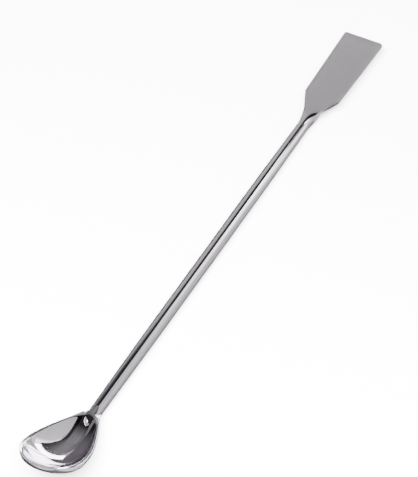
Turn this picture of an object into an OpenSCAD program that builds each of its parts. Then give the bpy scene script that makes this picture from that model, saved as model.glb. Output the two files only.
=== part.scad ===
// Lab spatula in one piece of stainless steel: a round rod handle, one end forged into a flat
// spade blade, the other pressed into a deep dished scoop. It lies as it comes to rest on a bench,
// with the bowl up, on the belly of the bowl and the underside of the handle.
// Lengths are in millimetres. +X runs towards the blade, +Z is up, and Z = 0 is the bench.

/* [Overall] */
// Length from the tip of the blade to the tip of the bowl
overall_length = 195.6; // [170:0.1:240]

/* [Handle] */
// Diameter of the rod along the middle of the handle
handle_d = 4.4; // [4:0.1:5]
// Diameter of the rod where it runs into the blade and the bowl
handle_end_d = 3.9; // [3.4:0.1:4]
// Length over which each end of the rod thins
handle_taper = 38; // [20:1:45]

/* [Blade] */
// Width across the tip
blade_tip_w = 14; // [12:0.1:18]
// Width across the shoulders
blade_shoulder_w = 12.3; // [9:0.1:14]
// Length from the tip to the shoulders
blade_length = 29.5; // [22:0.5:40]
// Length of the trimmed taper from the shoulders to the neck
blade_taper = 7.3; // [5:0.1:10]
// Width at the neck, where the trim ends
blade_neck_w = 5.3; // [4.6:0.1:7]
// Thickness of the plate
blade_t = 1.1; // [0.8:0.05:1.5]
// Radius of the two corners at the tip
blade_corner_r = 0.8; // [0.3:0.1:2]
// Length of the flare from the rod to the neck
blade_flare = 6; // [3:0.5:10]
// Length under the blade over which the rod runs out
blade_runout = 9; // [5:0.5:14]

/* [Bowl] */
// Outside width at the widest place
bowl_w = 19.05; // [16:0.05:22]
// Length from the neck to the tip, seen from above
bowl_length = 27; // [24:0.1:34]
// Distance of the widest place from the tip
bowl_nose = 9.6; // [7:0.1:11]
// Width at the neck, where the sides begin
bowl_neck_w = 6.4; // [5.4:0.1:7.4]
// Length of the fillet from the rod to the sides
bowl_flare = 2.7; // [1.5:0.1:5]
// Depth below the rim at the deepest place
bowl_depth = 5.9; // [4:0.1:7]
// Distance of the deepest place from the tip
bowl_deep_at = 11; // [9:0.5:14]
// Angle of the rim to the handle at the neck
bowl_pitch = 9.7; // [5:0.1:14]
// Height that the rim's upward curve adds at the tip
bowl_sweep = 7.2; // [4:0.1:9]
// Height of the rim above the handle's axis at the neck
bowl_rim_lift = 1.3; // [0.9:0.1:1.7]
// Thickness of the wall
bowl_t = 1; // [0.8:0.05:1.4]
// Height of the upright edge outside the rim at the tip
bowl_lip = 2.2; // [0.8:0.1:2.8]
// Length of the rod's rounded end inside the bowl
bowl_runout = 2.8; // [2:0.1:5]
// Depth of the small flat on the belly that the bowl rests on
belly_flat = 0.4; // [0.25:0.05:0.5]

/* [Hidden] */

$fn = 96;
// A small inset that keeps a forged end inside the rod or plate that it grows out of
sink = 0.03;
handle_r = handle_d / 2;
end_r = handle_end_d / 2;

// Stations along the handle's axis
blade_tip_x = overall_length / 2;
blade_shoulder_x = blade_tip_x - blade_length;
blade_neck_x = blade_shoulder_x - blade_taper;
blade_rod_x = blade_neck_x - blade_flare;
bowl_tip_x = -overall_length / 2;
bowl_neck_x = bowl_tip_x + bowl_length;
bowl_rod_x = bowl_neck_x + bowl_flare + 2;

// Heights of the blade, flush with the top of the rod's end
blade_top_z = end_r - sink / 2;
blade_bottom_z = blade_top_z - blade_t;

// Stations of the bowl, counted from the neck towards the tip
bowl_wide = bowl_length - bowl_nose;
bowl_deep = bowl_length - bowl_deep_at;
// Shares of a full half round that the curves inside and outside take, which set how steep they are
hollow_share = 0.85;
belly_share = 0.92;
// Exponent that sets how full the bowl's sides are between neck and widest place
side_fullness = 1.07;
// Width of the rounding where the rod's end meets the floor and the belly
blend = 0.8;
// How far the underside of the bowl reaches back past the neck
belly_back = 1.5;

steel = "#b9b8b6";

// A smooth step from 0 to 1
function ease(t) = let (c = min(max(t, 0), 1)) c * c * (3 - 2 * c);
function mix(a, b, t) = a + (b - a) * t;
// The larger of two heights, rounded over a band of width k where they cross
function smooth_max(a, b, k) = let (h = max(k - abs(a - b), 0) / k) max(a, b) + h * h * k / 4;
function smooth_min(a, b, k) = -smooth_max(-a, -b, k);
// Depth of the bowl's curve, 1 in the middle and 0 at the rim
function dish(q, share) =
    let (c = min(abs(q), 1), edge = sqrt(1 - share * share))
    (sqrt(1 - share * share * c * c) - edge) / (1 - edge);
// Height of a round bar of radius r at the sideways distance y, falling away steeply beside it
function bar(r, y) = abs(y) < r ? sqrt(r * r - y * y) : 4 * (r - abs(y));

// Half width of the bowl's outline at the distance s from the neck
function bowl_side(s) =
    s < -bowl_flare ? end_r - sink :
    s < 0 ? mix(end_r - sink, bowl_neck_w / 2, pow((s + bowl_flare) / bowl_flare, 2)) :
    s < bowl_wide ? mix(bowl_neck_w, bowl_w, pow(sin(90 * s / bowl_wide), side_fullness)) / 2 :
    bowl_w / 2 * sqrt(max(1 - pow((s - bowl_wide) / bowl_nose, 2), 0));
// The same for the inner edge of the rim
function bowl_inner_side(s) =
    let (nose = bowl_nose - bowl_t)
    s < bowl_wide ? max(bowl_side(s) - bowl_t, 0.4) :
    s < bowl_wide + nose ? (bowl_w / 2 - bowl_t) * sqrt(1 - pow((s - bowl_wide) / nose, 2)) : 0;
function bowl_rim_z(s) =
    bowl_rim_lift + max(s, -1) * tan(bowl_pitch) + bowl_sweep * pow(max(s, 0) / bowl_length, 2);
// Height of the upright edge, which dies away from the tip to the neck
function lip(s) = mix(0.35, bowl_lip, ease(s / bowl_length));
// Place of a station between the deepest place (0) and the end of the hollow (1)
function bowl_along(s, back, front) = s < bowl_deep ? (bowl_deep - s) / back : (s - bowl_deep) / front;
// Radius of the rod's end, which runs out inside the bowl like the nose of a bullet
function rod_nose(s) =
    let (r = end_r - sink)
    s < -1 ? r : r * sqrt(max(1 - pow((s + 1) / (bowl_runout + 1), 2), 0));
// Heights of the hollow and of the underside
function hollow_z(s, y) =
    let (half = bowl_inner_side(s), q = half > 0.001 ? y / half : 1)
    bowl_rim_z(s) - bowl_depth
        * dish(bowl_along(s, bowl_deep, bowl_deep_at - bowl_t), hollow_share) * dish(q, hollow_share);
function belly_z(s, y) =
    let (half = max(bowl_side(s), 0.001))
    bowl_rim_z(s) - lip(s) - (bowl_depth + bowl_t - lip(s))
        * dish(bowl_along(s, bowl_deep + belly_back, bowl_deep_at), belly_share)
        * dish(y / half, belly_share);
// Height of the outer edge of the rim, which falls to the side of the rod behind the neck
function edge_z(s) = s < 0 ? bowl_rim_lift * ease((s + bowl_flare) / bowl_flare) : bowl_rim_z(s);
// The axis of the rod's end dips until its rounded nose is below the floor of the bowl
function nose_dip(s) = -0.35 * end_r * ease((s + 1) / (bowl_runout + 1));
function bowl_top_z(s, y) =
    let (bare = s < 0 ? edge_z(s) * abs(y) / bowl_side(s) : hollow_z(s, y))
    let (nose = bar(rod_nose(s), y) + nose_dip(s))
    s < -bowl_flare ? nose :
    rod_nose(s) < 0.01 ? bare :
    smooth_max(bare, nose, blend * ease((s + bowl_flare) / bowl_flare) + 0.01);
function bowl_under_z(s, y) =
    let (bare = s < 0 ? edge_z(s) - lip(s) : belly_z(s, y))
    let (nose = -bar(rod_nose(s), y))
    s < -bowl_flare ? nose :
    rod_nose(s) < 0.01 ? bare :
    smooth_min(bare, nose, blend * ease((s + bowl_flare) / bowl_flare) + 0.01);

// Columns of points across a section, closer together towards the sides
columns = 20;
function spread(k) = sin(180 * k / columns - 90);
// Stations from inside the rod to the tip of the bowl
bowl_stations = concat(
    [for (i = [0:1:15]) mix(-bowl_flare - 2.4, bowl_runout + 0.4, i / 15)],
    [for (i = [1:1:16]) mix(bowl_runout + 0.4, bowl_wide, i / 16)],
    [for (i = [1:1:14]) bowl_wide + (bowl_nose - bowl_t) * sin(6.4 * i)],
    [for (i = [1:1:4]) bowl_length - bowl_t * (1 - sin(20 * i))]);

function bowl_ring(s) =
    let (x = bowl_neck_x - s, out = bowl_side(s), rim_z = edge_z(s) + 0.02)
    let (rim_in = max(bowl_inner_side(s), min(0.6, out / 2)) + 0.02)
    let (inn = mix(0.97 * out, rim_in, ease((s + 2) / 3)))
    concat(
        [[x, -out, rim_z]],
        [for (k = [0:1:columns], y = inn * spread(k)) [x, y, bowl_top_z(s, y) + 0.02]],
        [[x, out, rim_z]],
        [for (k = [columns:-1:0], y = out * spread(k))
            [x, y, max(min(bowl_under_z(s, y), rim_z - 0.05), bench_z(x))]]);

// Half width, height range and squareness of the blade's neck, d from the rod towards the tip
blade_neck_len = blade_flare + blade_runout + 1;
function neck_side(d) =
    d < blade_flare
        ? mix(end_r - sink, blade_neck_w / 2 - sink, pow(max(d, 0) / blade_flare, 2))
        : mix(blade_neck_w / 2 - sink, 1.2, ease((d - blade_flare) / blade_runout));
function neck_low(d) = mix(-end_r + sink, blade_bottom_z + 3 * sink, ease(d / (blade_flare + blade_runout)));
function neck_square(d) = mix(2, 5, ease(d / blade_flare));
function neck_ring(d) =
    let (top = blade_top_z - sink, low = neck_low(d), n = neck_square(d), half = neck_side(d))
    let (mid = (top + low) / 2, rise = (top - low) / 2)
    [for (k = [0:1:2 * columns - 1])
        let (a = 180 * k / columns, c = cos(a), s = sin(a))
        [blade_rod_x + d,
         half * sign(c) * pow(abs(c), 2 / n),
         mid + rise * sign(s) * pow(abs(s), 2 / n)]];

// A closed skin over rings that follow one another along X
module skin(rings) {
    n = len(rings[0]);
    last = len(rings) - 1;
    sides = [for (i = [0:1:last - 1], j = [0:1:n - 1]) each
        let (a = i * n + j, b = i * n + (j + 1) % n)
        [[a, a + n, b], [b, a + n, b + n]]];
    ends = [[for (j = [0:1:n - 1]) j], [for (j = [n - 1:-1:0]) last * n + j]];
    polyhedron(points = [for (ring = rings) each ring], faces = concat(sides, ends));
}

// The rod, thinned towards both ends
function handle_radius(x) =
    let (from_end = min(x - bowl_rod_x, blade_rod_x - x))
    handle_r - (handle_r - end_r) * pow(max(1 - from_end / handle_taper, 0), 2);
taper_steps = 8;
handle_stations = concat(
    [for (i = [0:1:taper_steps]) bowl_rod_x + handle_taper * i / taper_steps],
    [for (i = [taper_steps:-1:0]) blade_rod_x - handle_taper * i / taper_steps]);
module handle() {
    rotate([0, 90, 0])
        rotate_extrude()
            polygon(concat(
                [[0, bowl_rod_x]],
                [for (x = handle_stations) [handle_radius(x), x]],
                [[0, blade_rod_x]]));
}

// The flat blade, trimmed to its outline
module blade_outline() {
    r = blade_corner_r;
    half = blade_tip_w / 2;
    side = atan2((blade_tip_w - blade_shoulder_w) / 2, blade_length);
    union() {
        polygon([
            [blade_neck_x, -blade_neck_w / 2],
            [blade_shoulder_x, -blade_shoulder_w / 2],
            [blade_tip_x - r, -half + r * sin(side)],
            [blade_tip_x - r, half - r * sin(side)],
            [blade_shoulder_x, blade_shoulder_w / 2],
            [blade_neck_x, blade_neck_w / 2]]);
        translate([blade_tip_x - 2 * r, -half + r])
            square([2 * r, blade_tip_w - 2 * r]);
        for (k = [-1, 1])
            translate([blade_tip_x - r, k * (half - r)])
                circle(r);
    }
}
module blade() {
    translate([0, 0, blade_bottom_z])
        linear_extrude(blade_t)
            blade_outline();
}

// The round rod flattened into the blade
module blade_neck() {
    steps = 24;
    skin([for (i = [0:1:steps]) neck_ring(mix(-1, blade_neck_len - 1, i / steps))]);
}

// The dished bowl with the end of the rod running out in it
module bowl() {
    skin([for (s = bowl_stations) bowl_ring(s)]);
}

// The angle at which the belly of the bowl and the handle touch the bench together
function belly_slope(x) = max([for (s = bowl_stations)
    atan2(-handle_radius(x) - bowl_under_z(s, 0) - belly_flat, x - (bowl_neck_x - s))]);
rest_tilt = min([for (x = handle_stations) belly_slope(x)]);
rest_lift = max([for (x = handle_stations) x * sin(rest_tilt) + handle_radius(x) * cos(rest_tilt)]);
// Height of the bench under the part as it lies, measured from the handle's axis
function bench_z(x) = (x * sin(rest_tilt) - rest_lift) / cos(rest_tilt);

module spatula() {
    color(steel)
        translate([0, 0, rest_lift])
            rotate([0, rest_tilt, 0]) {
                handle();
                blade();
                blade_neck();
                bowl();
            }
}

spatula();
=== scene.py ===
import math

import bmesh
import bpy
import numpy as np
from mathutils import Matrix, Vector


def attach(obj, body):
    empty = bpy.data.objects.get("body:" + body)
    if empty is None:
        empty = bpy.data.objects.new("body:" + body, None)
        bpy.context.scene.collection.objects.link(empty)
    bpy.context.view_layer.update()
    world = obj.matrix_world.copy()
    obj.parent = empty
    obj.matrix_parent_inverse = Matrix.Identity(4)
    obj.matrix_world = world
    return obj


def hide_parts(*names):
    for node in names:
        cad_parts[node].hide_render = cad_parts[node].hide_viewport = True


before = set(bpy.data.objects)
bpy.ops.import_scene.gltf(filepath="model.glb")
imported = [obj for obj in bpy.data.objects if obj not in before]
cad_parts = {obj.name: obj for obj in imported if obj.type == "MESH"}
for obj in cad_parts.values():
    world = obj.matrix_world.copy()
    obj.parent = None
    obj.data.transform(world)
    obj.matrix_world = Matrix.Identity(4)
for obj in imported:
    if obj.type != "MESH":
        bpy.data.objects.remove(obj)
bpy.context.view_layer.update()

# Sizes in millimetres, measured along the handle's axis before the spatula is laid on the bench.
# X runs to the blade's tip and Z is up.
OVERALL_LENGTH = 195.6

HANDLE_R = 2.2
HANDLE_END_R = 1.95
HANDLE_TAPER = 38.0

BLADE_TIP_W = 14.0
BLADE_SHOULDER_W = 12.3
BLADE_LENGTH = 29.5
BLADE_TRIM = 7.3
BLADE_NECK_W = 5.3
BLADE_T = 1.1
BLADE_CORNER_R = 0.8
BLADE_FLARE = 6.0
BLADE_RUNOUT = 9.0

BOWL_W = 19.05
BOWL_LENGTH = 27.0
BOWL_NOSE = 9.6
BOWL_NECK_W = 6.4
BOWL_FLARE = 2.7
BOWL_DEPTH = 5.9
BOWL_DEEP_AT = 11.0
BOWL_PITCH = math.radians(9.7)
BOWL_SWEEP = 7.2
BOWL_RIM_LIFT = 1.3
BOWL_T = 1.0
BOWL_LIP = 2.2
BOWL_RUNOUT = 2.8
BELLY_BACK = 1.5

# The rounding of the trimmed edges, and the plain rod that is drawn together with the bowl
EDGE_R = 0.16
ROD_LAP = 2.0

# The blade's face lies a little under the top of the rod, and goes on levelling past the neck
BLADE_SINK = 0.015
BLADE_LEVELLING = 1.0
# Under the blade the rod runs out as a tongue: half width of its end, and how far that lies in the plate
TONGUE_END_HALF = 1.2
TONGUE_END_LAP = 0.2
TONGUE_FILLET = 0.3

# The bowl's lip at the neck, and the share of a half round that the curves of hollow and belly take
BOWL_NECK_LIP = 0.35
HOLLOW_ROUND = 0.7
BELLY_ROUND = 0.92
# How slowly the sides widen from the neck: 1 is a plain sine
SIDE_FULLNESS = 1.07
RIM_FILLET = 0.3
# The rod's end in the bowl: where its nose starts to round before the neck, how far its axis dips as a
# share of its radius, and the width of its blend into the bowl
NOSE_BEFORE_NECK = 1.0
NOSE_DIP = 0.35
NOSE_BLEND = 0.8
# Directions, seen from the deepest place, past which the outline's corners at the neck are softened
NECK_SOFT_FROM = math.radians(125)
NECK_SOFT_OVER = math.radians(25)

# How the spatula lies: it leans on the belly of the bowl and the underside of the handle
REST_TILT = math.radians(0.0581176)
REST_LIFT = 2.21815

# Stations along the axis
TIP_X = OVERALL_LENGTH / 2
SHOULDER_X = TIP_X - BLADE_LENGTH
BLADE_NECK_X = SHOULDER_X - BLADE_TRIM
BLADE_ROD_X = BLADE_NECK_X - BLADE_FLARE
BOWL_NECK_X = -OVERALL_LENGTH / 2 + BOWL_LENGTH
BOWL_ROD_X = BOWL_NECK_X + BOWL_FLARE + ROD_LAP
BOWL_WIDE = BOWL_LENGTH - BOWL_NOSE
BOWL_DEEP = BOWL_LENGTH - BOWL_DEEP_AT

BLADE_TOP = HANDLE_END_R - BLADE_SINK
BLADE_BOTTOM = BLADE_TOP - BLADE_T

# Points round the rod. A section has half of them on top and half below.
AROUND = 200
SWEEP = np.linspace(-math.pi / 2, math.pi / 2, AROUND // 2 + 1)

# A width close to nothing, in millimetres, which keeps blends from dividing by 0
HAIR = 0.01


# Helpers for curves and heights

def ease(t):
    """From 0 to 1 as t does, starting and ending gently."""
    c = np.clip(t, 0.0, 1.0)
    return c * c * (3.0 - 2.0 * c)


def mix(a, b, t):
    return a + (b - a) * t


def smooth_max(a, b, k):
    """The larger of two heights, blended where they differ by less than k."""
    h = np.maximum(k - np.abs(a - b), 0.0) / k
    return np.maximum(a, b) + h * h * k / 4.0


def smooth_min(a, b, k):
    return -smooth_max(-a, -b, k)


def roll_off(distance, radius):
    """How far a rounded edge has dropped at a distance inside it."""
    inside = np.clip(radius - distance, 0.0, radius)
    return radius - np.sqrt(radius * radius - inside * inside)


def bar(radius, y):
    """Height of a round bar beside its axis, falling away steeply next to it."""
    steepness = 4.0
    arch = np.sqrt(np.maximum(radius * radius - y * y, 0.0))
    return np.where(np.abs(y) < radius, arch, steepness * (radius - np.abs(y)))


# The blade end: a round rod flattened into a plate and trimmed to a spade

def blade_half(x):
    """Half width of the blade's outline."""
    widening = np.clip((x - BLADE_ROD_X) / BLADE_FLARE, 0, 1) ** 2
    flare = mix(HANDLE_END_R, BLADE_NECK_W / 2, widening)
    trim = mix(BLADE_NECK_W, BLADE_SHOULDER_W, (x - BLADE_NECK_X) / BLADE_TRIM) / 2
    side = mix(BLADE_SHOULDER_W, BLADE_TIP_W, (x - SHOULDER_X) / BLADE_LENGTH) / 2
    half = np.where(x < BLADE_NECK_X, flare, np.where(x < SHOULDER_X, trim, side))
    return half - roll_off(TIP_X - x, BLADE_CORNER_R)


def blade_rings():
    """Sections of the blade end, closer together where its shape changes fast."""
    sections = (
        np.linspace(BLADE_ROD_X, BLADE_NECK_X, 34),
        np.linspace(BLADE_NECK_X, SHOULDER_X, 22)[1:],
        np.linspace(SHOULDER_X, TIP_X - BLADE_CORNER_R, 16)[1:],
        TIP_X - BLADE_CORNER_R + BLADE_CORNER_R * np.sin(np.linspace(0, math.pi / 2, 14))[1:])
    x = np.concatenate(sections)[:, None]
    half = blade_half(x)
    y = half * np.sin(SWEEP)[None, :]
    arch = np.cos(SWEEP)[None, :]
    d = x - BLADE_ROD_X

    to_edge = np.minimum(half - np.abs(y), TIP_X - x)
    drop = roll_off(to_edge, EDGE_R)
    top = mix(HANDLE_END_R * arch, BLADE_TOP - drop, ease(d / (BLADE_FLARE + BLADE_LEVELLING)))

    # Under the plate the rod runs out as a narrowing tongue. Its section goes from round, with an exponent
    # of 2, to nearly square.
    round_section, square_section, flank = 2.0, 5.0, 6.0
    squareness = mix(round_section, square_section, ease(d / BLADE_FLARE))
    narrowing = mix(BLADE_NECK_W / 2, TONGUE_END_HALF, ease((d - BLADE_FLARE) / BLADE_RUNOUT))
    tongue_half = np.where(d < BLADE_FLARE, half, narrowing)
    low = mix(-HANDLE_END_R, BLADE_BOTTOM + TONGUE_END_LAP, ease(d / (BLADE_FLARE + BLADE_RUNOUT)))
    centre = (BLADE_TOP + low) / 2
    middle = np.where(d < BLADE_FLARE, mix(0.0, centre, ease(d / BLADE_FLARE)), centre)
    share = np.abs(y) / tongue_half
    curve = np.maximum(1.0 - share ** squareness, 0.0) ** (1.0 / squareness)
    tongue = middle - (middle - low) * curve + flank * np.maximum(np.abs(y) - tongue_half, 0.0)
    plate = BLADE_BOTTOM + drop
    fillet = TONGUE_FILLET * ease((d - BLADE_FLARE) / 2) + HAIR
    under = np.where(d <= BLADE_FLARE, tongue, smooth_min(plate, tongue, fillet))
    under = np.minimum(under, top)
    return ring_points(x, y, top, under)


# The bowl end: a pitched, dished teardrop with the rod's end running out in its floor

def bowl_half(s):
    """Half width of the bowl's outline at the distance s from its neck."""
    widening = np.clip((s + BOWL_FLARE) / BOWL_FLARE, 0, 1) ** 2
    flare = mix(HANDLE_END_R, BOWL_NECK_W / 2, widening)
    turn = np.sin(math.pi / 2 * np.clip(s / BOWL_WIDE, 0, 1)) ** SIDE_FULLNESS
    side = mix(BOWL_NECK_W, BOWL_W, turn) / 2
    nose = BOWL_W / 2 * np.sqrt(np.maximum(1 - ((s - BOWL_WIDE) / BOWL_NOSE) ** 2, 0))
    return np.where(s < 0, flare, np.where(s < BOWL_WIDE, side, nose))


def reach(back, inset):
    """Distance from the deepest place to the outline, as a function of the direction."""
    fine, closing, least_half = 400, 60, 0.4
    nose_length = BOWL_NOSE - inset
    s = np.concatenate((np.linspace(back, BOWL_WIDE, fine),
                        BOWL_WIDE + nose_length * np.sin(np.linspace(0, math.pi / 2, fine))[1:]))
    nose = (BOWL_W / 2 - inset) * np.sqrt(np.maximum(1 - ((s - BOWL_WIDE) / nose_length) ** 2, 0))
    half = np.where(s < BOWL_WIDE, np.maximum(bowl_half(s) - inset, least_half), nose)
    s = np.concatenate((np.full(closing, back), s))
    half = np.concatenate((np.linspace(0, half[0], closing), half))
    angle = np.arctan2(half, s - BOWL_DEEP)
    order = np.argsort(angle)
    per_degree = 8
    turn = np.linspace(0, math.pi, 180 * per_degree + 1)
    far = np.interp(turn, angle[order], np.hypot(half, s - BOWL_DEEP)[order])
    # The corners beside the neck are softened, as a press tool's are, so no crease runs down from them.
    # The bell curve that does it is 7.5 degrees wide and is cut off at three times that.
    bell = int(7.5 * per_degree)
    reach_of_bell = 3 * bell
    spread = np.exp(-0.5 * (np.arange(-reach_of_bell, reach_of_bell + 1) / bell) ** 2)
    soft = np.convolve(np.pad(far, reach_of_bell, mode="reflect"), spread / spread.sum(), mode="valid")
    return turn, mix(far, soft, ease((turn - NECK_SOFT_FROM) / NECK_SOFT_OVER))


def gauge(s, y, outline):
    """0 at the deepest place, 1 on the outline."""
    return np.hypot(s - BOWL_DEEP, y) / np.interp(np.arctan2(np.abs(y), s - BOWL_DEEP), *outline)


def dish(q, share):
    """Depth of the bowl's curve, 1 in the middle, 0 at the rim, and less than 0 outside it.

    share is the part of a full half round that the curve takes, which sets how steep its wall is."""
    fall_outside = 3.5
    rim = math.sqrt(1 - share * share)
    inside = (np.sqrt(1 - (share * np.minimum(q, 1.0)) ** 2) - rim) / (1 - rim)
    return inside - fall_outside * np.maximum(q - 1.0, 0.0)


def bowl_rings():
    """Sections of the bowl end, closer together near the neck and at the tip."""
    neck_end = 8.0
    sections = (
        np.linspace(-BOWL_FLARE - ROD_LAP, neck_end, 96),
        np.linspace(neck_end, BOWL_WIDE, 46)[1:],
        BOWL_WIDE + BOWL_NOSE * np.sin(np.linspace(0, math.pi / 2, 90))[1:])
    s = np.concatenate(sections)[:, None]
    half = bowl_half(s)
    y = half * np.sin(SWEEP)[None, :]

    start = ease((s + BOWL_FLARE) / BOWL_FLARE)
    rise = s * math.tan(BOWL_PITCH) + BOWL_SWEEP * (s / BOWL_LENGTH) ** 2
    rim = np.where(s < 0, BOWL_RIM_LIFT * start, BOWL_RIM_LIFT + rise)
    lip = mix(BOWL_NECK_LIP, BOWL_LIP, ease(s / BOWL_LENGTH)) * start
    outer = gauge(s, y, reach(-BELLY_BACK, 0.0))
    to_side = np.maximum(half - np.abs(y), 0.0)
    to_outline = np.hypot(s - BOWL_DEEP, y) * np.maximum(1 / np.maximum(outer, 1e-6) - 1, 0)
    drop = roll_off(np.minimum(to_side, to_outline), EDGE_R) * start

    hollow = rim - BOWL_DEPTH * dish(gauge(s, y, reach(0.0, BOWL_T)), HOLLOW_ROUND)
    floor = np.where(s < 0, rim, smooth_min(hollow, rim, RIM_FILLET)) - drop
    belly = rim - lip - (BOWL_DEPTH + BOWL_T - lip) * np.maximum(dish(outer, BELLY_ROUND), 0.0)

    # The rod's end: a bullet nose that dips below the floor
    far_below = -50.0
    along = np.clip((s + NOSE_BEFORE_NECK) / (BOWL_RUNOUT + NOSE_BEFORE_NECK), 0, 1)
    radius = HANDLE_END_R * np.sqrt(1 - along ** 2)
    dip = -NOSE_DIP * HANDLE_END_R * ease(along)
    band = NOSE_BLEND * start + HAIR
    nose = np.where(radius > HAIR, bar(radius, y), far_below)
    top = np.where(s < -BOWL_FLARE, nose, smooth_max(floor, nose + dip, band))
    under = np.where(s < -BOWL_FLARE, -nose, smooth_min(belly, -nose, band))

    x = BOWL_NECK_X - s
    bench = (x * math.sin(REST_TILT) - REST_LIFT) / math.cos(REST_TILT)
    under = np.maximum(np.minimum(under, top), bench)
    return ring_points(x, y, top, under)[::-1]


# Meshes

def ring_points(x, y, top, under):
    """One ring a section: the top from -Y to +Y, then the underside back again."""
    x = np.broadcast_to(x, y.shape)
    upper = np.stack((x, y, top), axis=-1)
    lower = np.stack((x, y, under), axis=-1)[:, ::-1]
    return np.concatenate((upper, lower), axis=1)


def skin_faces(rings, first, cap_start, cap_end):
    """Quads between neighbouring rings, with a closed end where one is asked for."""
    count, n = rings.shape[:2]
    a = (np.arange(count - 1)[:, None] * n + np.arange(n)[None, :]).ravel()
    b = (np.arange(count - 1)[:, None] * n + (np.arange(n)[None, :] + 1) % n).ravel()
    quads = [np.stack((a, a + n, b + n, b), axis=1)]
    k = np.arange(n // 2 - 1)
    across = np.stack((k, k + 1, n - 2 - k, n - 1 - k), axis=1)
    if cap_start:
        quads.append(across)
    if cap_end:
        quads.append((across + (count - 1) * n)[:, ::-1])
    return np.concatenate(quads) + first


def laid(points):
    """Points of the spatula as it lies on the bench, in metres."""
    x, y, z = points[:, 0], points[:, 1], points[:, 2]
    c, s = math.cos(REST_TILT), math.sin(REST_TILT)
    return np.stack((x * c + z * s, y, z * c - x * s + REST_LIFT), axis=1) / 1000.0


def add_node(tree, kind, links=None, **settings):
    """A node with its settings. links gives a value or another node's output for each input."""
    node = tree.nodes.new(kind)
    for name, value in settings.items():
        setattr(node, name, value)
    for key, value in (links or {}).items():
        socket = node.inputs[key]
        if isinstance(value, bpy.types.NodeSocket):
            tree.links.new(value, socket)
        else:
            socket.default_value = value
    return node


def handle_tree():
    """Geometry Nodes for the handle: a round bar that thins towards both ends."""
    tree = bpy.data.node_groups.new("handle_bar", "GeometryNodeTree")
    face = tree.interface
    for name, kind in (("Start", "NodeSocketFloat"), ("End", "NodeSocketFloat"),
                       ("Middle radius", "NodeSocketFloat"), ("End radius", "NodeSocketFloat"),
                       ("Taper length", "NodeSocketFloat"), ("Around", "NodeSocketInt"),
                       ("Stations", "NodeSocketInt"), ("Finish", "NodeSocketMaterial")):
        face.new_socket(name, in_out="INPUT", socket_type=kind)
    face.new_socket("Geometry", in_out="OUTPUT", socket_type="NodeSocketGeometry")
    sizes = add_node(tree, "NodeGroupInput").outputs
    calc = "ShaderNodeMath"
    start = add_node(tree, "ShaderNodeCombineXYZ", {0: sizes["Start"]})
    end = add_node(tree, "ShaderNodeCombineXYZ", {0: sizes["End"]})
    axis = add_node(tree, "GeometryNodeCurvePrimitiveLine",
                    {"Start": start.outputs[0], "End": end.outputs[0]})
    path = add_node(tree, "GeometryNodeResampleCurve",
                    {"Curve": axis.outputs[0], "Count": sizes["Stations"]})
    position = add_node(tree, "GeometryNodeInputPosition")
    place = add_node(tree, "ShaderNodeSeparateXYZ", {0: position.outputs[0]})
    before = add_node(tree, calc, {0: place.outputs[0], 1: sizes["Start"]}, operation="SUBTRACT")
    after = add_node(tree, calc, {0: sizes["End"], 1: place.outputs[0]}, operation="SUBTRACT")
    nearest = add_node(tree, calc, {0: before.outputs[0], 1: after.outputs[0]}, operation="MINIMUM")
    share = add_node(tree, calc, {0: nearest.outputs[0], 1: sizes["Taper length"]}, operation="DIVIDE")
    left = add_node(tree, calc, {0: 1.0, 1: share.outputs[0]}, operation="SUBTRACT", use_clamp=True)
    bend = add_node(tree, calc, {0: left.outputs[0], 1: 2.0}, operation="POWER")
    thinned = add_node(tree, calc, {0: sizes["Middle radius"], 1: sizes["End radius"]}, operation="SUBTRACT")
    loss = add_node(tree, calc, {0: thinned.outputs[0], 1: bend.outputs[0]}, operation="MULTIPLY")
    radius = add_node(tree, calc, {0: sizes["Middle radius"], 1: loss.outputs[0]}, operation="SUBTRACT")
    ring = add_node(tree, "GeometryNodeCurvePrimitiveCircle",
                    {"Resolution": sizes["Around"], "Radius": 1.0})
    bar_mesh = add_node(tree, "GeometryNodeCurveToMesh",
                        {"Curve": path.outputs[0], "Profile Curve": ring.outputs["Curve"],
                         "Scale": radius.outputs[0]})
    real = add_node(tree, "GeometryNodeRealizeInstances", {0: bar_mesh.outputs[0]})
    finish = add_node(tree, "GeometryNodeSetMaterial",
                      {"Geometry": real.outputs[0], "Material": sizes["Finish"]})
    add_node(tree, "NodeGroupOutput", {0: finish.outputs[0]})
    return tree


def handle_mesh(finish):
    """The handle as a plain mesh in millimetres, open at both ends."""
    holder = bpy.data.objects.new("handle_bar", bpy.data.meshes.new("handle_bar"))
    bpy.context.collection.objects.link(holder)
    tree = handle_tree()
    modifier = holder.modifiers.new("handle_bar", "NODES")
    modifier.node_group = tree
    sizes = {"Start": BOWL_ROD_X, "End": BLADE_ROD_X, "Middle radius": HANDLE_R, "End radius": HANDLE_END_R,
             "Taper length": HANDLE_TAPER, "Around": AROUND, "Stations": 60, "Finish": finish}
    for item in tree.interface.items_tree:
        if item.in_out == "INPUT":
            modifier[item.identifier] = sizes[item.name]
    evaluated = holder.evaluated_get(bpy.context.evaluated_depsgraph_get())
    mesh = bpy.data.meshes.new_from_object(evaluated)
    points = np.empty(len(mesh.vertices) * 3)
    mesh.vertices.foreach_get("co", points)
    corners = np.empty(len(mesh.loops), dtype=np.int64)
    mesh.loops.foreach_get("vertex_index", corners)
    holder.modifiers.remove(modifier)
    bpy.data.objects.remove(holder)
    return points.reshape(-1, 3), corners.reshape(-1, 4)


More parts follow.
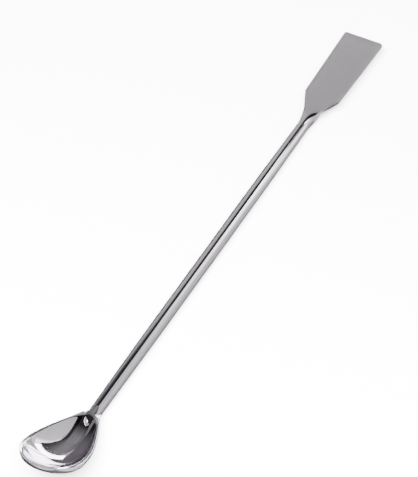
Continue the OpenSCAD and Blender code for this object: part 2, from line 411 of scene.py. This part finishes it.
def make_spatula(finish):
    """The whole spatula as one closed skin."""
    same_place, sliver, crease = 2e-6, 1e-7, math.radians(38)
    bowl, blade = bowl_rings(), blade_rings()
    bar_points, bar_faces = handle_mesh(finish)
    points = [bowl.reshape(-1, 3), bar_points, blade.reshape(-1, 3)]
    first_bar = len(points[0])
    first_blade = first_bar + len(bar_points)
    faces = [skin_faces(bowl, 0, True, False), bar_faces + first_bar,
             skin_faces(blade, first_blade, False, True)]
    points = np.concatenate(points)

    mesh = bpy.data.meshes.new("spatula")
    mesh.from_pydata(laid(points).tolist(), [], np.concatenate(faces).tolist())
    # 1 on the blade, which is ground, and 0 on the polished rest, with a soft change at the blade's neck
    grind_before, grind_over = 2.0, 3.0
    ground = mesh.attributes.new("ground", "FLOAT", "POINT")
    ground.data.foreach_set("value", ease((points[:, 0] - BLADE_NECK_X + grind_before) / grind_over))
    shell = bmesh.new()
    shell.from_mesh(mesh)
    bmesh.ops.remove_doubles(shell, verts=shell.verts, dist=same_place)
    bmesh.ops.dissolve_degenerate(shell, edges=shell.edges, dist=sliver)
    bmesh.ops.recalc_face_normals(shell, faces=shell.faces)
    shell.to_mesh(mesh)
    shell.free()
    mesh.shade_smooth()
    mesh.set_sharp_from_angle(angle=crease)
    mesh.materials.append(finish)
    piece = bpy.data.objects.new("spatula_body", mesh)
    bpy.context.collection.objects.link(piece)
    return piece


# Materials

def colour(code):
    """An sRGB hex value as linear RGBA."""
    parts = [int(code[i:i + 2], 16) / 255 for i in (1, 3, 5)]
    return tuple(c / 12.92 if c <= 0.04045 else ((c + 0.055) / 1.055) ** 2.4 for c in parts) + (1.0,)


def polished_stainless():
    """Forged stainless steel, polished along its length, with the blade's faces ground to a satin.

    The polish mirrors the room in long streaks, a little wavy from the forging. The grinding spreads the
    room into an even grey with fine lines along the blade. Handling leaves faint, duller smudges."""
    material = bpy.data.materials.new("stainless_steel_forged_and_polished")
    material.use_nodes = True
    tree = material.node_tree
    tree.nodes.clear()
    place = add_node(tree, "ShaderNodeTexCoord").outputs["Object"]
    ground = add_node(tree, "ShaderNodeAttribute", attribute_name="ground").outputs["Fac"]

    # Lines, ripple and smudges: how long and wide their marks are, in millimetres along and across the
    # spatula, and how much detail they have. Real polishing and grinding lines are about 0.02 mm wide.
    # These are 0.5 mm, so that they show.
    marks = []
    for length, width, detail in ((14.0, 0.5, 3.0), (7.0, 4.0, 1.0), (16.0, 9.0, 4.0)):
        stretched = add_node(tree, "ShaderNodeMapping",
                             {"Vector": place, "Scale": (1000 / length, 1000 / width, 1000 / width)})
        mottle = add_node(tree, "ShaderNodeTexNoise",
                          {"Vector": stretched.outputs[0], "Scale": 1.0, "Detail": detail, "Roughness": 0.6})
        marks.append(mottle.outputs["Fac"])
    lines, ripple, smudge = marks

    line_depth = add_node(tree, "ShaderNodeMapRange", {"Value": ground, "To Min": 0.05, "To Max": 0.3})
    waves = add_node(tree, "ShaderNodeBump", {"Height": ripple, "Strength": 0.5, "Distance": 0.00003})
    scratches = add_node(tree, "ShaderNodeBump", {"Height": lines, "Strength": line_depth.outputs[0],
                                                  "Distance": 0.00001, "Normal": waves.outputs[0]})
    rough = add_node(tree, "ShaderNodeMapRange", {"Value": ground, "To Min": 0.05, "To Max": 0.19})
    dulling = add_node(tree, "ShaderNodeMapRange",
                       {"Value": smudge, "From Min": 0.45, "From Max": 0.75, "To Max": 0.06})
    dulled = add_node(tree, "ShaderNodeMath", {0: rough.outputs[0], 1: dulling.outputs[0]}, operation="ADD")
    tone = add_node(tree, "ShaderNodeMapRange", {"Value": lines, "From Min": 0.3, "From Max": 0.7})
    shade = add_node(tree, "ShaderNodeMix",
                     {"Factor": tone.outputs[0], 6: colour("#c7c1c9"), 7: colour("#d1cbd3")},
                     data_type="RGBA")
    steel = add_node(tree, "ShaderNodeBsdfPrincipled",
                     {"Base Color": shade.outputs[2], "Metallic": 1.0, "Roughness": dulled.outputs[0],
                      "Normal": scratches.outputs[0]})
    add_node(tree, "ShaderNodeOutputMaterial", {"Surface": steel.outputs[0]})
    return material


def matte_card(name, code):
    """Matte card. It spreads the light evenly, with next to no gloss."""
    material = bpy.data.materials.new(name)
    material.use_nodes = True
    tree = material.node_tree
    tree.nodes.clear()
    card = add_node(tree, "ShaderNodeBsdfPrincipled",
                    {"Base Color": colour(code), "Roughness": 0.9, "Specular IOR Level": 0.1})
    add_node(tree, "ShaderNodeOutputMaterial", {"Surface": card.outputs[0]})
    return material


# Floor, light and camera

def make_floor():
    """The pale bench. The steel mirrors a greyer sheet in its place, painted shade that darkens the bench in
    its reflections, so that its edges stand out.
    """
    h = 3.0
    corners = [(-h, -h, 0), (h, -h, 0), (h, h, 0), (-h, h, 0)]
    # The second sheet is painted shade: a darker copy of the bench that only the steel mirrors.
    for name, code, mirrored in (("bench", "#f4f4f4", False), ("bench_shaded_in_steel", "#626262", True)):
        mesh = bpy.data.meshes.new(name)
        mesh.from_pydata(corners, [], [(0, 1, 2, 3)])
        mesh.materials.append(matte_card("card_matte_" + name, code))
        floor = bpy.data.objects.new(name, mesh)
        floor.visible_camera = floor.visible_diffuse = not mirrored
        floor.visible_shadow = False
        floor.visible_glossy = mirrored
        bpy.context.collection.objects.link(floor)


def lamp_cloth():
    """White lamp cloth, lit from behind. The flags use it too, as painted light and painted shade that only
    the steel mirrors. Each place of a sheet has its own brightness.
    """
    material = bpy.data.materials.new("glow_cloth_for_lamps_and_painted_light")
    material.use_nodes = True
    tree = material.node_tree
    tree.nodes.clear()
    glow = add_node(tree, "ShaderNodeAttribute", attribute_name="glow")
    light = add_node(tree, "ShaderNodeEmission",
                     {"Color": colour("#ffffff"), "Strength": glow.outputs["Fac"]})
    add_node(tree, "ShaderNodeOutputMaterial", {"Surface": light.outputs[0]})
    return material


def add_sheet(name, places, glow, cloth, flag=False):
    """A sheet of the studio through rows of places, in metres. It shows in the steel, not to the camera.

    glow is the brightness at each place. A flag is only mirrored: it casts no light or shade."""
    places, glow = np.array(places, float), np.array(glow, float)
    rows, columns = glow.shape
    steps = 12
    down = np.linspace(0, rows - 1, (rows - 1) * steps + 1)
    along = np.linspace(0, columns - 1, (columns - 1) * steps + 1)
    i, j = np.minimum(down.astype(int), rows - 2), np.minimum(along.astype(int), columns - 2)
    d, a = (down - i)[:, None, None], (along - j)[None, :, None]

    def between(values):
        upper = mix(values[i][:, j], values[i][:, j + 1], a)
        return mix(upper, mix(values[i + 1][:, j], values[i + 1][:, j + 1], a), d)

    n = len(along)
    k = (np.arange(len(down) - 1)[:, None] * n + np.arange(n - 1)[None, :]).ravel()
    mesh = bpy.data.meshes.new(name)
    mesh.from_pydata(between(places).reshape(-1, 3).tolist(), [],
                     np.stack((k, k + 1, k + n + 1, k + n), axis=1).tolist())
    brightness = mesh.attributes.new("glow", "FLOAT", "POINT")
    brightness.data.foreach_set("value", between(glow[..., None]).ravel())
    mesh.materials.append(cloth)
    sheet = bpy.data.objects.new(name, mesh)
    sheet.visible_camera = False
    sheet.visible_diffuse = sheet.visible_shadow = not flag
    bpy.context.collection.objects.link(sheet)


def add_bench_lamp():
    """The lamp that whitens the bench. The steel does not mirror it."""
    lamp = bpy.data.lights.new("bench_lamp", "AREA")
    lamp.shape = "RECTANGLE"
    lamp.size, lamp.size_y = 1.6, 1.4
    lamp.energy = 520.0
    holder = bpy.data.objects.new("bench_lamp", lamp)
    holder.location = (0.0, -0.2, 1.0)
    holder.visible_camera = holder.visible_glossy = False
    bpy.context.collection.objects.link(holder)


def make_light():
    """A grey room, the bench's lamp, lit and dark panels round the bench, and flags near the steel, which
    are painted light and painted shade in its reflections.
    """
    world = bpy.data.worlds.new("studio")
    world.use_nodes = True
    world.node_tree.nodes["Background"].inputs["Color"].default_value = colour("#959595")
    world.node_tree.nodes["Background"].inputs["Strength"].default_value = 1.0
    bpy.context.scene.world = world
    add_bench_lamp()
    cloth = lamp_cloth()
    hang_panels(cloth)
    hang_bowl_flags(cloth)
    lay_bench_flags(cloth)


def hang_panels(cloth):
    """The panels round the bench, which are mirrored in the rod and the blade."""
    back, right, ceiling, left = 0.6, -0.6, 0.5, 0.16
    add_sheet("back_panel", [[(back, -0.5, 0), (back, 0.4, 0)],
                             [(back, -0.5, 0.32), (back, 0.4, 0.26)]],
              [[16, 16], [16, 16]], cloth)
    add_sheet("right_panel", [[(-0.3, right, 0), (0.4, right, 0), (back, -0.55, 0)],
                              [(-0.3, right, 0.48), (0.4, right, 0.69), (back, -0.55, 0.74)]],
              [[1.0, 1.3, 6.0], [0.9, 1.6, 7.0]], cloth)
    add_sheet("panel_frame", [[(-0.3, right, 0.48), (0.3, right, 0.66)],
                              [(-0.3, right, 0.53), (0.3, right, 0.71)]],
              [[0.03, 0.03], [0.03, 0.03]], cloth)
    add_sheet("top_panel", [[(x, y, z) for x in (0.0, 0.22, 0.3, 0.42)]
                            for y, z in ((-0.5, 0.44), (-0.12, ceiling))],
              [[0.6, 0.84, 2.1, 6.6], [1.0, 1.4, 3.5, 11.0]], cloth)
    add_sheet("dark_strip", [[(0.0, -0.06, 0.499), (0.7, -0.26, 0.48)],
                             [(0.0, left, ceiling), (0.7, left, ceiling)]],
              [[0.02, 0.02], [0.02, 0.02]], cloth)
    add_sheet("left_panel", [[(x, y, z) for x in (0.0, 0.2, 0.28, 0.9)]
                             for y, z in ((left, ceiling), (0.5, 0.32), (0.9, 0.0))],
              [[0.04, 0.05, 0.58, 0.58], [0.22, 0.3, 0.95, 0.95], [0.06, 0.08, 0.12, 0.12]], cloth)
    # A far soft wall behind the camera lightens the steel in views from the other sides
    wall, wide = -1.6, 2.4
    add_sheet("far_wall", [[(wall, -wide, z), (wall, wide, z)] for z in (0.05, 1.8)],
              [[1.2, 1.2], [1.0, 1.0]], cloth, flag=True)


def hang_bowl_flags(cloth):
    """The card and the cloth over the bowl, which are painted shade, and the spot, a painted highlight, all
    mirrored in its hollow.
    """
    # A grey card leans over the handle's end and shades the bowl's reflections from the panels beyond. It is
    # painted shade, a dim glowing sheet that only the steel mirrors and that casts no shadow. Its lower edge
    # is raised on the left.
    foot_x, foot_z = -0.0642, 0.0106
    lean_x, lean_z = 0.4027, 0.9153

    def on_card(up, y):
        return (foot_x + lean_x * up, y, foot_z + lean_z * up)

    raised, middle, top = (0.0, 0.0, 0.001, 0.003, 0.003, 0.003), 0.0297, 0.0681
    add_sheet("bowl_card", [
        [on_card(up, y) for up, y in zip(raised, (-0.013, -0.006, 0.0035, 0.005, 0.03, 0.06))],
        [on_card(middle, y) for y in (-0.03, -0.0255, -0.012, 0.0, 0.03, 0.06)],
        [on_card(top, y) for y in (-0.065, -0.048, -0.036, 0.0, 0.03, 0.06)]],
        [[0.05, 0.13, 0.36, 0.36, 0.22, 0.15],
         [0.05, 0.12, 0.36, 0.36, 0.26, 0.17],
         [0.05, 0.06, 0.36, 0.38, 0.36, 0.3]],
        cloth, flag=True)
    # A grey cloth runs on from the card, level over the bowl, painted shade like the card. It is darker to
    # the back and the right, and its right edge runs out at a slant. Each row gives a place and its share of
    # the brightness.
    front, _, level = on_card(top, 0.0)
    right_edge, slant = -0.065, 0.38
    along = ((-0.16, 0.08), (-0.095, 0.1), (-0.062, 0.85), (front, 1.0))
    across = ((None, 0.05), (-0.048, 0.06), (-0.036, 0.36), (0.03, 0.4), (0.09, 0.22))
    places = [[(x, right_edge - slant * (front - x) if y is None else y, level) for x, _ in along]
              for y, _ in across]
    add_sheet("bowl_cloth", places, [[far * side for _, far in along] for _, side in across],
              cloth, flag=True)
    # Painted highlight: a small bright sheet under the cloth, mirrored only, puts the drop of light on the
    # rod's nose in the bowl and lights nothing.
    below_cloth = level - 0.001
    add_sheet("bowl_painted_highlight", [[(x, y, below_cloth) for x in (-0.154, -0.134)] for y in (0.043, 0.068)],
              [[14, 14], [14, 14]], cloth, flag=True)


def lay_bench_flags(cloth):
    """The shade on the bench close to the steel, which is mirrored in its lower sides."""
    on_bench = 0.0001
    for name, x0, x1, y0, y1, glow in (
            ("rod_shade_left", -0.066, 0.06, 0.0, 0.06, [[0.1, 0.14], [0.1, 0.14]]),
            ("rod_shade_right", -0.066, 0.06, -0.05, -0.0045, [[0.9, 1.1], [0.75, 1.0]]),
            ("rod_shade_under", -0.066, 0.06, -0.0045, 0.0, [[0.35, 0.4], [0.2, 0.2]]),
            ("bowl_shade", -0.104, -0.066, -0.012, 0.018, [[0.35, 0.35], [0.03, 0.03]]),
            ("blade_shade", 0.0635, 0.105, -0.03, 0.01, [[0.15, 0.15], [0.15, 0.15]])):
        add_sheet(name, [[(x, y, on_bench) for x in (x0, x1)] for y in (y0, y1)], glow, cloth, flag=True)


def make_camera():
    """The photograph's view. Its place and axes are given along the handle, as the sizes are."""
    eye_mm, look, across = (-305.8, -225.0, 459.4), (0.5142, 0.3819, -0.768), (0.5057, -0.8582, -0.0881)
    focal_pixels, photo_height, sensor = 1949.7, 477, 36.0
    eye = laid(np.array([eye_mm]))[0]
    c, s = math.cos(REST_TILT), math.sin(REST_TILT)
    turn = Matrix(((c, 0, s), (0, 1, 0), (-s, 0, c)))
    forward = (turn @ Vector(look)).normalized()
    right = (turn @ Vector(across)).normalized()
    up = right.cross(forward)
    camera = bpy.data.cameras.new("camera")
    camera.sensor_fit = "VERTICAL"
    camera.sensor_height = sensor
    camera.lens = focal_pixels / photo_height * sensor
    camera.clip_start, camera.clip_end = 0.01, 20.0
    holder = bpy.data.objects.new("camera", camera)
    axes = Matrix((right, up, -forward)).transposed()
    holder.matrix_world = Matrix.Translation(eye) @ axes.to_4x4()
    bpy.context.collection.objects.link(holder)
    bpy.context.scene.camera = holder


steel = polished_stainless()
spatula = make_spatula(steel)
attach(spatula, "root")
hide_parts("spatula")

make_floor()
make_light()
make_camera()
